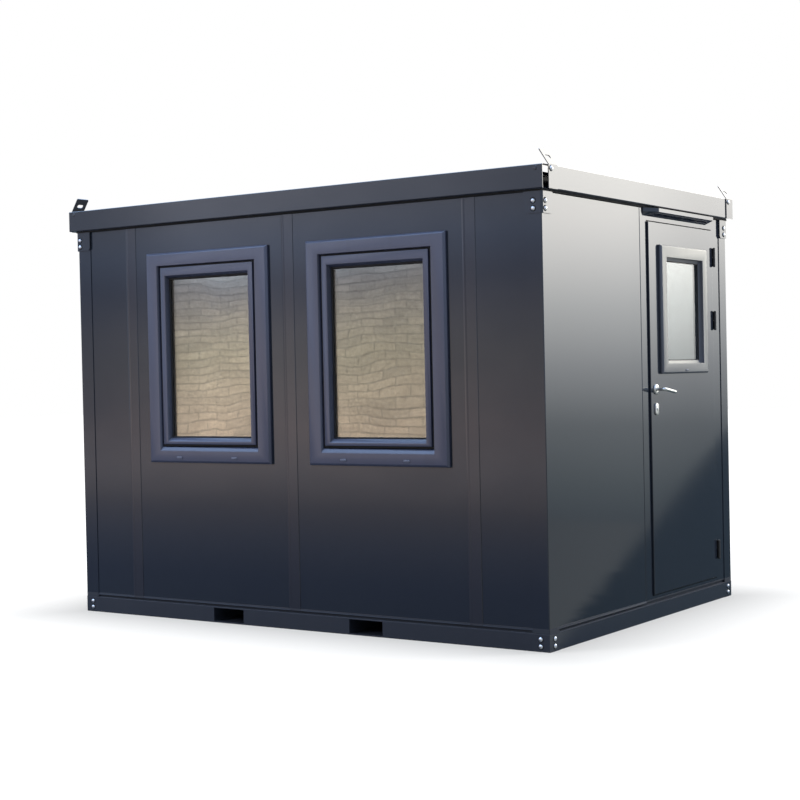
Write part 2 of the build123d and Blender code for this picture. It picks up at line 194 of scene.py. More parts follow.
# Finishes; each noise is given by its scale and detail
paintLook = {
    "panel": [(0.0120, 0.0172, 0.0295, 1), (0.0150, 0.0207, 0.0335, 1)],
    # the strips' colours are lighter than the panel's: a painted highlight along the joint strips
    "strip": [(0.0180, 0.0212, 0.0330, 1), (0.0210, 0.0247, 0.0370, 1)],
    "base": (0.0205, 0.0265, 0.0420, 1), "baseRough": 0.14,
    "dust": (0.10, 0.10, 0.10, 1), "dustHeight": 0.35, "dustShare": 0.05,
    "lining": (0.56, 0.56, 0.54, 1), "liningRough": 0.35,
    "bare": (0.10, 0.095, 0.09, 1), "scrapeHeight": 4 * mm, "scrapeRough": 0.3,
    "chips": (55, 3), "chipLevel": 0.56, "worn": (9, 2), "wornLevel": 0.47,
    "grooveLow": 84 * mm, "grooveHigh": 113 * mm, "grooveRough": 0.7,
    "bend": 1.5, "roughness": 0.055, "clouds": (1.1, 3), "smudges": (6.5, 4), "smudgeRough": 0.03,
    "streakScale": (19, 19, 0.55), "streaks": (1.0, 5), "streakRough": 0.025,
    "peels": (330, 2), "peel": 0.03, "peelDepth": 0.4 * mm,
}


def makePaint(name, colours):
    look = paintLook
    paint, shader, here = startFinish(name, {"IOR": look["bend"]})
    x, y, z = (here.axis(i) for i in range(3))
    smudge = here.noise(*look["smudges"])
    streak = here.stretched(look["streakScale"]).noise(*look["streaks"])
    low = ((look["dustHeight"] - z) / look["dustHeight"]).clamped()
    dust = low * smudge * streak * look["dustShare"]
    inside = (abs(x) < cabin["roomX"] + mm) * (abs(y) < cabin["roomY"] + mm)
    inside = inside * (z < cabin["roofLow"] + mm) * (z > cabin["floorLow"])
    below = z < cabin["floorLow"]
    # paint scraped off along the ground
    scrape = (here.noise(*look["chips"]) > look["chipLevel"]) * (z < look["scrapeHeight"])
    scrape = scrape * (here.noise(*look["worn"]) > look["wornLevel"])
    colour = here.noise(*look["clouds"]).mix(*colours)
    colour = below.mix(colour, look["base"])
    colour = dust.clamped().mix(colour, look["dust"])
    colour = scrape.mix(colour, look["bare"])
    inside.mix(colour, look["lining"]).feed(shader, "Base Color")
    # dirt in the groove above the base
    groove = (z > look["grooveLow"]) * (z < look["grooveHigh"]) * look["grooveRough"]
    rough = smudge * look["smudgeRough"] + streak * look["streakRough"] + dust + groove
    rough = rough + below * look["baseRough"] + inside * look["liningRough"]
    (rough + scrape * look["scrapeRough"] + look["roughness"]).feed(shader, "Roughness")
    here.noise(*look["peels"]).bump(look["peel"], look["peelDepth"]).feed(shader, "Normal")
    return paint


slate = {"colour": (0.026, 0.034, 0.071, 1), "faded": (0.033, 0.042, 0.084, 1),
         "grime": (0.018, 0.020, 0.030, 1), "roughness": 0.42}
plasticLook = {
    "slatePlastic": {**slate, "skin": 0.42, "skinRough": 0.12, "skinTint": grey(1.0)},
    "doorPlastic": {**slate, "skin": 1.0, "skinRough": 0.56, "skinTint": (1.0, 0.985, 0.87, 1)},
    "capPlastic": {"colour": (0.055, 0.068, 0.115, 1), "faded": (0.075, 0.090, 0.145, 1),
                   "grime": (0.035, 0.040, 0.055, 1), "roughness": 0.5,
                   "skin": 0.2, "skinRough": 0.3, "skinTint": grey(1.0)},
}
plasticGrain = {
    "bend": 1.5, "clouds": (3.2, 3), "streakScale": (26, 26, 1.6), "streaks": (1.0, 4),
    "streakRough": 0.06, "grimeSteep": 3, "grimeShare": 0.4,
    "pores": (850, 2), "pore": 0.05, "poreDepth": 0.3 * mm,
}


def makePlastic(name):
    look, grain = plasticLook[name], plasticGrain
    plastic, shader, here = startFinish(name, {
        "IOR": grain["bend"], "Coat Weight": look["skin"], "Coat Roughness": look["skinRough"],
        "Coat Tint": look["skinTint"]})
    streak = here.stretched(grain["streakScale"]).noise(*grain["streaks"])
    colour = here.noise(*grain["clouds"]).mix(look["colour"], look["faded"])
    grime = (streak ** grain["grimeSteep"] * grain["grimeShare"]).clamped()
    grime.mix(colour, look["grime"]).feed(shader, "Base Color")
    (streak * grain["streakRough"] + look["roughness"]).feed(shader, "Roughness")
    here.noise(*grain["pores"]).bump(grain["pore"], grain["poreDepth"]).feed(shader, "Normal")
    return plastic


glassLook = {
    "clearGlass": {"bend": 1.6, "reflectionTint": grey(1.0)},
    # the window glass's reflections are tinted warm: a painted warm reflection
    "warmMirrorGlass": {"bend": 2.2, "reflectionTint": (1.0, 0.97, 0.79, 1)},  # mirrors more than the door's
    "clear": (0.80, 0.86, 0.85, 1), "film": (0.70, 0.75, 0.74, 1), "films": (3.5, 4),
    "filmLevel": 0.5, "filmRough": 0.05, "roughness": 0.012,
    "waves": (2.2, 1), "bulges": (1.2, 0), "bulge": 4.0, "wave": 0.8, "waveDepth": 1.5 * mm,
}


def makeGlass(name):
    # Specular Tint colours the reflections; on the window glass it is a painted warm reflection
    look, coat = glassLook, glassLook[name]
    glass, shader, here = startFinish(name, {
        "IOR": coat["bend"], "Transmission Weight": 1.0, "Specular Tint": coat["reflectionTint"]})
    film = here.noise(*look["films"])
    film.mix(look["clear"], look["film"]).feed(shader, "Base Color")
    thick = (film - look["filmLevel"]).clamped()
    (thick * look["filmRough"] + look["roughness"]).feed(shader, "Roughness")
    height = here.noise(*look["waves"]) + here.noise(*look["bulges"]) * look["bulge"]
    height.bump(look["wave"], look["waveDepth"]).feed(shader, "Normal")  # slight waviness
    return glass


metalLook = {
    "blackMetal": {"colour": (0.008, 0.008, 0.009, 1), "shade": (0.016, 0.016, 0.018, 1),
                   "roughness": 0.30, "brush": (40, 40, 40), "metallic": 0.0},
    "satinSteel": {"colour": (0.62, 0.62, 0.60, 1), "shade": (0.50, 0.50, 0.49, 1),
                   "roughness": 0.20, "brush": (240, 12, 240), "metallic": 1.0},
    "zincPlate": {"colour": (0.78, 0.79, 0.81, 1), "shade": (0.60, 0.61, 0.64, 1),
                  "roughness": 0.18, "brush": (70, 70, 70), "metallic": 1.0},
}
metalGrain = {
    "lines": (1.0, 4), "lineShare": 0.4, "lineRough": 0.16, "line": 0.06, "lineDepth": 0.15 * mm,
    "blots": (42, 3), "blotShare": 0.6, "blotRough": 0.08,
}


def makeMetal(name):
    look, grain = metalLook[name], metalGrain
    metal, shader, here = startFinish(name, {"Metallic": look["metallic"]})
    lines = here.stretched(look["brush"]).noise(*grain["lines"])
    blot = here.noise(*grain["blots"])
    shade = blot * grain["blotShare"] + lines * grain["lineShare"]
    shade.mix(look["colour"], look["shade"]).feed(shader, "Base Color")
    rough = lines * grain["lineRough"] + blot * grain["blotRough"] + look["roughness"]
    rough.feed(shader, "Roughness")
    lines.bump(grain["line"], grain["lineDepth"]).feed(shader, "Normal")
    return metal


rubberLook = {
    "colour": (0.0045, 0.0045, 0.005, 1), "faded": (0.013, 0.013, 0.014, 1), "bend": 1.4,
    "roughness": 0.62, "blots": (30, 3), "blotRough": 0.2,
    "pores": (600, 2), "pore": 0.1, "poreDepth": 0.3 * mm,
}


def makeRubber():
    look = rubberLook
    rubber, shader, here = startFinish("blackRubber", {"IOR": look["bend"]})
    blot = here.noise(*look["blots"])
    blot.mix(look["colour"], look["faded"]).feed(shader, "Base Color")
    (blot * look["blotRough"] + look["roughness"]).feed(shader, "Roughness")
    here.noise(*look["pores"]).bump(look["pore"], look["poreDepth"]).feed(shader, "Normal")
    return rubber


floorLook = {
    "plank": (0.165, 0.150, 0.130, 1), "pale": (0.215, 0.195, 0.170, 1),
    "dark": (0.10, 0.088, 0.075, 1), "seam": (0.03, 0.028, 0.025, 1),
    "plankWidth": 0.18, "plankLength": 1.2, "seamWidth": 0.0015, "seamSoft": 0.3, "stagger": 0.37,
    "bend": 1.45, "roughness": 0.38, "grainScale": (2.4, 60, 2.4), "grains": (1.0, 5),
    "grainShare": 0.5, "grainRough": 0.15, "grainHeight": 0.3,
    "relief": 0.3, "reliefDepth": 0.6 * mm,
}


def makeFloorBoard():
    look = floorLook
    board, shader, here = startFinish("floorBoard", {"IOR": look["bend"]})
    settings = {"offset": look["stagger"], "offset_frequency": 2}
    sockets = {"Vector": here, "Scale": 1.0, "Mortar Size": look["seamWidth"],
               "Mortar Smooth": look["seamSoft"], "Brick Width": look["plankLength"],
               "Row Height": look["plankWidth"], "Color1": look["plank"],
               "Color2": look["pale"], "Mortar": look["seam"]}
    planks = here.add("ShaderNodeTexBrick", settings, sockets)
    seam = here.add("ShaderNodeTexBrick", settings, sockets, out=1)
    grain = here.stretched(look["grainScale"]).noise(*look["grains"])
    (grain * look["grainShare"]).mix(planks, look["dark"]).feed(shader, "Base Color")
    (grain * look["grainRough"] + look["roughness"]).feed(shader, "Roughness")
    height = grain * look["grainHeight"] - seam
    height.bump(look["relief"], look["reliefDepth"]).feed(shader, "Normal")
    return board


finishes = {
    "dark_paint": makePaint("darkPaint", paintLook["panel"]),
    "slate_plastic": makePlastic("slatePlastic"),
    "clear_glass": makeGlass("clearGlass"),
    "black_metal": makeMetal("blackMetal"),
    "satin_steel": makeMetal("satinSteel"),
    "black_rubber": makeRubber(),
    "floor_board": makeFloorBoard(),
}
zinc = makeMetal("zincPlate")
warmMirrorGlass = makeGlass("warmMirrorGlass")
capPlastic = makePlastic("capPlastic")
doorPlastic = makePlastic("doorPlastic")
# a lighter copy of the panel paint for the joint strips and their folds: painted highlight
stripSheenPaint = makePaint("stripSheenPaint", paintLook["strip"])
for name, node in nodes.items():
    slotName = node.data.materials[0].name.split(".")[0]
    finish = warmMirrorGlass if name.endswith("window_glass") else finishes[slotName]
    node.data.materials.clear()
    node.data.materials.append(finish)
nodes["joint_strips"].data.materials[0] = stripSheenPaint
print("finishes made and given to the CAD nodes")

meshLook = {"sharpAngle": math.radians(32), "bevelAngle": 0.3, "weld": 0.01 * mm,
            "mitreGap": 0.15 * mm}


def makePiece(name, mesh, body, slotName, finish=None, replaced=()):
    bmesh.ops.recalc_face_normals(mesh, faces=mesh.faces[:])
    data = bpy.data.meshes.new(name)
    mesh.to_mesh(data)
    mesh.free()
    data.shade_smooth()
    data.set_sharp_from_angle(angle=meshLook["sharpAngle"])
    data.materials.append(finish or finishes[slotName])
    piece = bpy.data.objects.new(name, data)
    bpy.context.scene.collection.objects.link(piece)
    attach(piece, body)
    if replaced:
        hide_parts(*replaced)


def stamp(mesh, part, places):  # copies a small part into a mesh at each place
    data = bpy.data.meshes.new("stamp")
    part.to_mesh(data)
    part.free()
    for place in places:
        copy = data.copy()
        copy.transform(place)
        mesh.from_mesh(copy)
        bpy.data.meshes.remove(copy)
    bpy.data.meshes.remove(data)


def facing(point, normal):  # a place whose Z axis points out of a surface
    turn = Vector((0, 0, 1)).rotation_difference(Vector(normal))
    return Matrix.Translation(point) @ turn.to_matrix().to_4x4()


def spun(outline, steps=24):  # a turned part from (radius, height) points
    part = bmesh.new()
    points = [part.verts.new((radius, 0, height)) for radius, height in outline]
    edges = [part.edges.new(pair) for pair in zip(points, points[1:])]
    bmesh.ops.spin(part, geom=points + edges, cent=(0, 0, 0), axis=(0, 0, 1), angle=2 * math.pi,
                   steps=steps, use_merge=True)
    bmesh.ops.remove_doubles(part, verts=part.verts[:], dist=meshLook["weld"])
    bmesh.ops.recalc_face_normals(part, faces=part.faces[:])
    return part


def bevelSharp(part, width, segments=2):
    sharp = [e for e in part.edges if e.calc_face_angle(0.0) > meshLook["bevelAngle"]]
    bmesh.ops.bevel(part, geom=sharp, offset=width, offset_type="OFFSET", affect="EDGES",
                    segments=segments, profile=0.5, material=-1, clamp_overlap=True)


def roundedBlock(size, width, segments=3):
    part = bmesh.new()
    bmesh.ops.create_cube(part, size=1.0)
    bmesh.ops.scale(part, vec=size, verts=part.verts[:])
    bevelSharp(part, width, segments)
    return part


def straightBar(outline, length, edge):  # along X, from (inward, outward) points of its section
    bar = bmesh.new()
    start = [bar.verts.new((-length / 2, -out, inward)) for inward, out in outline]
    face = bar.faces.new(start)
    pulled = bmesh.ops.extrude_face_region(bar, geom=[face])["geom"]
    ends = [g for g in pulled if isinstance(g, bmesh.types.BMVert)]
    bmesh.ops.translate(bar, vec=(length, 0, 0), verts=ends)
    bmesh.ops.recalc_face_normals(bar, faces=bar.faces[:])
    if edge:
        bevelSharp(bar, edge)
    return bar


def mitredBar(outline, length, edge):
    bar = straightBar(outline, length, 0)
    reach = length / 2 - meshLook["mitreGap"]
    for side in (-1, 1):
        geom = bar.verts[:] + bar.edges[:] + bar.faces[:]
        cut = bmesh.ops.bisect_plane(bar, geom=geom, plane_co=(side * reach, 0, 0),
                                     plane_no=(side, 0, 1), clear_outer=True)["geom_cut"]
        rim = [g for g in cut if isinstance(g, bmesh.types.BMEdge)]
        bmesh.ops.contextual_create(bar, geom=rim)
    bmesh.ops.recalc_face_normals(bar, faces=bar.faces[:])
    if edge:
        bevelSharp(bar, edge)
    return bar


def mitredFrame(mesh, width, height, outline, edge, place, sides):
    # bars at the bottom (0), left (1), top (2) and right (3), each turned about the frame's middle
    lengths = (width, height, width, height)
    shifts = ((0, 0, -height / 2), (-width / 2, 0, 0), (0, 0, height / 2), (width / 2, 0, 0))
    for side in sides:
        turn = Matrix.Rotation(side * math.pi / 2, 4, "Y")
        bar = mitredBar(outline, lengths[side], edge)
        stamp(mesh, bar, [place @ Matrix.Translation(shifts[side]) @ turn])


def scaled(outline):
    return [(a * mm, b * mm) for a, b in outline]


def loopFrame(mesh, size, points, edge, place):
    # nested rectangles, each (side, top, bottom) in from the outside and (out) of the wall
    part = bmesh.new()
    loops = []
    for side, top, bottom, out in points:
        half = size[0] / 2 - side * mm
        foot, head = bottom * mm - size[1] / 2, size[1] / 2 - top * mm
        corners = ((-half, foot), (half, foot), (half, head), (-half, head))
        ring = [part.verts.new((x, -out * mm, z)) for x, z in corners]
        loops.append([part.edges.new((ring[i - 1], ring[i])) for i in range(4)])
    for first, second in zip(loops, loops[1:] + loops[:1]):
        bmesh.ops.bridge_loops(part, edges=first + second)
    bmesh.ops.recalc_face_normals(part, faces=part.faces[:])
    bevelSharp(part, edge)
    stamp(mesh, part, [place])


# Window frames, sashes, seals and drain covers
windowLook = {
    "frame": [(0, 0, 0, 0), (0, 0, 0, 13), (11, 11, 11, 24), (84, 73, 66, 24), (90, 75, 88, 8),
              (90, 75, 92, -44), (110, 95, 112, -44), (110, 95, 112, -60), (90, 75, 92, -60),
              (90, 75, 92, -68), (0, 0, 0, -68), (0, 0, 0, -60), (40, 40, 40, -60),
              (40, 40, 40, 0)],
    "sash": [(105, 85, 104, -44), (105, 85, 104, 16), (137, 130, 120, 16), (144, 142, 140, -12),
             (144, 142, 140, -44)],
    "seal": [(90, 75, 92, -6), (90, 75, 92, 3), (94, 78, 95, 6), (101, 82, 101, 6),
             (105, 85, 104, 3), (105, 85, 104, -6)],
    # the glass gaskets reach 12 mm over the top of the glass and 8 mm at the sides: the wider top
    # is a painted shadow band under the top bead
    "gasket": [(143, 141, 139, -22), (143, 141, 139, -15), (149, 150, 145, -15.5),
               (152, 154, 148, -18), (152, 154, 148, -22.5)],
    "edge": 1.6, "softEdge": 0.6,
    "drainReach": (-211, 188), "drainRise": 29, "drainSize": (40, 8, 14), "drainEdge": 3.5,
}


def makeWindow(side):
    look = windowLook
    low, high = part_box(side + "_window_frame")
    size = (high.x - low.x, high.z - low.z)
    place = Matrix.Translation(((low.x + high.x) / 2, -cabin["wallY"], (low.z + high.z) / 2))
    outer, sash, seal, gasket, caps = (bmesh.new() for _ in range(5))
    loopFrame(outer, size, look["frame"], look["edge"] * mm, place)
    loopFrame(sash, size, look["sash"], look["edge"] * mm, place)
    loopFrame(seal, size, look["seal"], look["softEdge"] * mm, place)
    loopFrame(gasket, size, look["gasket"], look["softEdge"] * mm, place)
    drain = roundedBlock(Vector(look["drainSize"]) * mm, look["drainEdge"] * mm)
    rise = low.z + look["drainRise"] * mm
    stamp(caps, drain, [Matrix.Translation((place.translation.x + reach * mm, low.y, rise))
                        for reach in look["drainReach"]])
    makePiece(side + "WindowFrame", outer, "cabin", "slate_plastic",
              replaced=[side + "_window_frame"])
    makePiece(side + "WindowSash", sash, "cabin", "slate_plastic",
              replaced=[side + "_window_sash"])
    makePiece(side + "SashSeal", seal, "cabin", "black_rubber")
    # real gaskets round the glass, widened at the top as painted shade
    makePiece(side + "GlassGasketAndShade", gasket, "cabin", "black_rubber")
    makePiece(side + "DrainCaps", caps, "cabin", "slate_plastic", capPlastic)


for side in ("left", "right"):
    makeWindow(side)
print("windows built")

# The fixed light in the door, as the windows but with one frame
doorLightLook = {
    "frame": [(0, 0, 0, 0), (0, 0, 0, 11), (9, 9, 9, 20), (66, 66, 57, 20), (66, 66, 57, 2),
              (84, 84, 75, -5), (84, 84, 75, -52), (0, 0, 0, -52), (0, 0, 0, -44),
              (40, 40, 40, -44), (40, 40, 40, 0)],
    "gasket": [(83, 83, 74, -7), (83, 83, 74, -3.5), (87, 88, 77, -4), (88, 89, 78, -5),
               (88, 89, 78, -7.5)],
    "edge": 1.6, "softEdge": 0.6, "drainRise": 19, "drainSize": (34, 7, 10), "drainEdge": 3,
}


def makeDoorLight():
    look = doorLightLook
    size = (lightHigh.y - lightLow.y, lightHigh.z - lightLow.z)
    middle = (lightLow + lightHigh) / 2
    sideways = Matrix.Rotation(math.pi / 2, 4, "Z")
    place = Matrix.Translation((leafHigh.x, middle.y, middle.z)) @ sideways
    light, gasket, cap = bmesh.new(), bmesh.new(), bmesh.new()
    loopFrame(light, size, look["frame"], look["edge"] * mm, place)
    loopFrame(gasket, size, look["gasket"], look["softEdge"] * mm, place)
    drain = roundedBlock(Vector(look["drainSize"]) * mm, look["drainEdge"] * mm)
    spot = Matrix.Translation((lightHigh.x, middle.y, lightLow.z + look["drainRise"] * mm))
    stamp(cap, drain, [spot @ sideways])
    makePiece("doorLightFrame", light, "door", "slate_plastic", doorPlastic, ["door_light_frame"])
    makePiece("doorLightGasket", gasket, "door", "black_rubber")
    makePiece("doorLightDrainCap", cap, "door", "slate_plastic", capPlastic)


makeDoorLight()
print("door light built")

# Bolts at the corners; the four posts are one part, turned a quarter for each corner
boltLook = {
    "head": [(0, 9), (4, 8.6), (7.6, 7.2), (10.2, 4.8), (11.4, 2.2), (11.4, 0)],
    # black rings round the bolt heads: a painted shadow round each head
    "shadowRing": [(8, 1.6), (14.6, 1.6), (15.4, 0.8), (15.4, -1)],
    "dimple": [(0, 3.2), (6, 3.0), (9.4, 2.0), (11, 0), (11, -1)],
    "bracketInset": (42, 21), "bracketLevels": (2180, 2142),
    "baseInset": (50, 50), "baseLevels": (62, 27),
    "lugPlate": 5, "lugReach": 1073, "lugShift": -21, "lugDrop": 20,
    "railReach": 1548, "railDrop": 19,
}


def cornerSpots():
    # front right, back right, back left and front left, each with its long and short face
    look = boltLook
    corners = (((1, -1), "y", "x"), ((1, 1), "x", "y"),
               ((-1, 1), "y", "x"), ((-1, -1), "x", "y"))
    rows = [("bracket", look["bracketInset"], look["bracketLevels"]),
            ("post", look["baseInset"], look["baseLevels"])]
    for (sx, sy), *faces in corners:
        for holder, insets, levels in rows:
            for across, inset in zip(faces, insets):
                for level in levels:
                    if across == "y":
                        x, y = sx * (cabin["postX"] - inset * mm), sy * cabin[holder + "Y"]
                    else:
                        x, y = sx * cabin[holder + "X"], sy * (cabin["postY"] - inset * mm)
                    outward = (sx * (across == "x"), sy * (across == "y"), 0)
                    yield facing((x, y, level * mm), outward)


def makeBolts():
    look = boltLook
    lugX = cabin["roofX"] + look["lugPlate"] * mm
    lugZ = cabin["roofHigh"] - look["lugDrop"] * mm
    railX = look["railReach"] * mm
    railZ = cabin["roofHigh"] - look["railDrop"] * mm
    domes, rails = list(cornerSpots()), []
    for sx in (-1, 1):
        for sy in (-1, 1):
            lugY = (sy * look["lugReach"] + look["lugShift"]) * mm
            domes.append(facing((sx * lugX, lugY, lugZ), (sx, 0, 0)))
            rails.append(facing((sx * railX, sy * cabin["roofY"], railZ), (0, sy, 0)))
    heads, shadowRings, dimples = (bmesh.new() for _ in range(3))
    stamp(heads, spun(scaled(look["head"])), domes)
    stamp(shadowRings, spun(scaled(look["shadowRing"])), domes)
    stamp(dimples, spun(scaled(look["dimple"])), rails)
    makePiece("zincBolts", heads, "cabin", "satin_steel", zinc)
    # black rings round the zinc heads, standing in for their shadow: painted shadow
    makePiece("boltShadowRings", shadowRings, "cabin", "black_rubber")
    makePiece("railBolts", dimples, "cabin", "dark_paint")


makeBolts()
print("corner bolts built")

# Folded drip trims along the foot of the walls, over the groove above the base
dripLook = {"section": [(-2, 0), (-2, 3.6), (0, 4), (3, 1), (10, 1), (10, 0)], "edge": 0.3,
            "postFlange": 95}


def makeDrips():
    look = dripLook
    section = scaled(look["section"])
    spanX = 2 * (cabin["postX"] - look["postFlange"] * mm)
    spanY = 2 * (cabin["postY"] - look["postFlange"] * mm)
    drips = bmesh.new()
    z = cabin["wallLow"]
    jambStart = lowOf("door_jamb_lock_side").y
    runs = [(spanX, (0, -cabin["wallY"], z), 0), (spanX, (0, cabin["wallY"], z), 180),
            (spanY, (-cabin["wallX"], 0, z), -90),
            (jambStart + spanY / 2, (cabin["wallX"], (jambStart - spanY / 2) / 2, z), 90)]
    for length, middle, turn in runs:
        bar = straightBar(section, length, look["edge"] * mm)
        spin = Matrix.Rotation(math.radians(turn), 4, "Z")
        stamp(drips, bar, [Matrix.Translation(middle) @ spin])
    makePiece("dripTrims", drips, "cabin", "dark_paint")


makeDrips()
print("drip trims built")

# Soft folds along the left edges of the joint strips, in the strips' lighter paint, which is a
# painted highlight
foldLook = {"section": [(-9, -1), (-9, 0.2), (-4, 1.0), (0, 1.3), (4, 1.0), (9, 0.2), (9, -1)],
            "pitch": 1140, "reach": 30, "endGap": 2}


def makeStripFolds():
    look = foldLook
    low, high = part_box("joint_strips")
    section = scaled(look["section"])
    length = high.z - low.z - 2 * look["endGap"] * mm
    upright = Matrix.Rotation(-math.pi / 2, 4, "Y")
    middle = (low.z + high.z) / 2
    places = []
    for step in (-1, 0, 1):
        for face, turn in ((low.y, 0), (high.y, math.pi)):
            spin = Matrix.Rotation(turn, 4, "Z")
            along = (step * look["pitch"] - look["reach"]) * mm
            foot = spin @ Vector((along, -abs(face), 0))
            places.append(Matrix.Translation((foot.x, foot.y, middle)) @ spin @ upright)
    folds = bmesh.new()
    stamp(folds, straightBar(section, length, 0), places)
    makePiece("stripFolds", folds, "cabin", "dark_paint", stripSheenPaint)


makeStripFolds()
print("strip folds built")

# Screws with washers along the ribs of the roof sheet
roofScrewLook = {"screw": [(0, 4.6), (4.2, 4.2), (5.4, 1.9), (9.4, 1.6), (10, 0.6), (10, 0)],
                 "steps": 16, "pitch": 240, "ribs": 12, "rows": 7, "reach": 930}


def makeRoofScrews():
    look = roofScrewLook
    top = highOf("roof_panel").z
    places = []
    for rib in range(look["ribs"]):
        for row in range(look["rows"]):
            x = (rib - (look["ribs"] - 1) / 2) * look["pitch"] * mm
            y = (2 * row / (look["rows"] - 1) - 1) * look["reach"] * mm
            places.append(facing((x, y, top), (0, 0, 1)))
    screws = bmesh.new()
    stamp(screws, spun(scaled(look["screw"]), look["steps"]), places)
    makePiece("roofScrews", screws, "cabin", "satin_steel", zinc)


makeRoofScrews()
print("roof screws built")

# Door furniture: roses, lock rosettes, hinge caps, seals
roseLook = {
    "rose": [(9.4, 0), (9.4, 9), (11, 9.6), (23, 9.2), (26.4, 7.6), (28, 5), (28, 0)],
    "roseSteps": 40, "lockRadius": 19, "lockHalfGap": 14, "lockThickness": 8, "lockDrop": 107,
    "lockEdge": 2.5, "barrel": [(0, 3.6), (6.6, 3.6), (8.3, 2.4), (8.5, 0)], "barrelSteps": 28,
    "keyway": (2.2, 9.5, 2.0), "keywayEdge": 0.5, "keywayShift": (0, -1, 2.9),
}


def ovalPlate(radius, halfGap, thickness, edge, steps=40, rimAngle=1.0):
    plate = bmesh.new()
    bmesh.ops.create_circle(plate, cap_ends=True, segments=steps, radius=radius)
    top = [v for v in plate.verts if v.co.y > 0]
    bottom = [v for v in plate.verts if v.co.y <= 0]
    bmesh.ops.translate(plate, vec=(0, halfGap, 0), verts=top)
    bmesh.ops.translate(plate, vec=(0, -halfGap, 0), verts=bottom)
    pulled = bmesh.ops.extrude_face_region(plate, geom=plate.faces[:])["geom"]
    raised = [g for g in pulled if isinstance(g, bmesh.types.BMVert)]
    bmesh.ops.translate(plate, vec=(0, 0, thickness), verts=raised)
    bmesh.ops.recalc_face_normals(plate, faces=plate.faces[:])
    rim = [e for e in plate.edges
           if e.calc_face_angle(0.0) > rimAngle and min(v.co.z for v in e.verts) > 0]
    bmesh.ops.bevel(plate, geom=rim, offset=edge, offset_type="OFFSET", affect="EDGES", segments=3,
                    profile=0.5, material=-1)
    return plate


def makeRoses():
    look = roseLook
    steel, keyways = bmesh.new(), bmesh.new()
    for faceX, outward in ((leafHigh.x, 1), (leafLow.x, -1)):
        rosePlace = facing((faceX, leverAxis.y, leverAxis.z), (outward, 0, 0))
        stamp(steel, spun(scaled(look["rose"]), look["roseSteps"]), [rosePlace])
        # across the door is the plate's X, and up is its Y
        upright = Matrix(((0, 0, outward), (outward, 0, 0), (0, 1, 0))).to_4x4()
        lockZ = leverAxis.z - look["lockDrop"] * mm
        lockPlace = Matrix.Translation((faceX, leverAxis.y, lockZ)) @ upright
        plate = ovalPlate(look["lockRadius"] * mm, look["lockHalfGap"] * mm,
                          look["lockThickness"] * mm, look["lockEdge"] * mm)
        stamp(steel, plate, [lockPlace])
        proud = lockPlace @ Matrix.Translation((0, 0, look["lockThickness"] * mm))
        stamp(steel, spun(scaled(look["barrel"]), look["barrelSteps"]), [proud])
        # a black block in each lock barrel stands in for the shade inside the keyhole: painted
        # shade
        keyway = roundedBlock(Vector(look["keyway"]) * mm, look["keywayEdge"] * mm, 2)
        shift = Matrix.Translation(Vector(look["keywayShift"]) * mm)
        stamp(keyways, keyway, [proud @ shift])
    makePiece("handleRoses", steel, "door", "satin_steel", replaced=["handle_roses"])
    makePiece("lockKeyholeShades", keyways, "door", "black_metal")


makeRoses()

hingeLook = {"cap": [(0, 4.5), (4, 4.0), (6.8, 2.6), (8, 0.6), (8, 0), (7, -1)],
             "levelGap": 0.1}  # metres; a larger step in height is the next hinge


def hingeLevels():
    # the foot and the head of each hinge, from the heights of the pins
    pins = nodes["hinge_pins"].data.vertices
    heights = sorted({round(v.co.z, 4) for v in pins})
    groups = []
    for height in heights:
        if not groups or height - groups[-1][-1] > hingeLook["levelGap"]:
            groups.append([])
        groups[-1].append(height)
    return [(group[0], group[-1]) for group in groups]


def makeHingeCaps():
    look = hingeLook
    onDoor, onCabin = bmesh.new(), bmesh.new()
    for low, high in hingeLevels():
        tops = facing((hingeAxis.x, hingeAxis.y, high), (0, 0, 1))
        feet = facing((hingeAxis.x, hingeAxis.y, low), (0, 0, -1))
        stamp(onDoor, spun(scaled(look["cap"])), [tops])
        stamp(onCabin, spun(scaled(look["cap"])), [feet])
    makePiece("hingeCapsDoor", onDoor, "door", "black_metal")
    makePiece("hingeCapsCabin", onCabin, "cabin", "black_metal")


makeHingeCaps()

sealLook = {"stop": [(5, 0), (5, 2), (8, 4.4), (13, 4.4), (16, 2), (16, 0)], "stopEdge": 0.6,
            "leafGap": 7, "stopGap": 5.5, "sweepDepth": 30, "sweepDrop": 5.0, "sweepTuck": 2,
            "sweepShort": 10, "sweepEdge": 1}


def makeDoorSeals():
    look = sealLook
    gap = look["leafGap"] * mm
    leafWidth = leafHigh.y - leafLow.y
    width, height = leafWidth + 2 * gap, leafHigh.z - leafLow.z + 2 * gap
    middle = (leafLow + leafHigh) / 2
    stopFace = leafLow.x - look["stopGap"] * mm
    sideways = Matrix.Rotation(math.pi / 2, 4, "Z")
    place = Matrix.Translation((stopFace, middle.y, middle.z)) @ sideways
    seal = bmesh.new()
    edge = look["stopEdge"] * mm
    mitredFrame(seal, width, height, scaled(look["stop"]), edge, place, (1, 2, 3))
    makePiece("doorSeal", seal, "cabin", "black_rubber")
    drop, tuck = look["sweepDrop"] * mm, look["sweepTuck"] * mm
    size = Vector((look["sweepDepth"] * mm, leafWidth - look["sweepShort"] * mm, drop + tuck))
    sweep = roundedBlock(size, look["sweepEdge"] * mm, 2)
    brush = bmesh.new()
    foot = leafLow.z - (drop - tuck) / 2
    stamp(brush, sweep, [Matrix.Translation((middle.x, middle.y, foot))])
    makePiece("doorSweep", brush, "door", "black_rubber")


makeDoorSeals()
print("door furniture built")


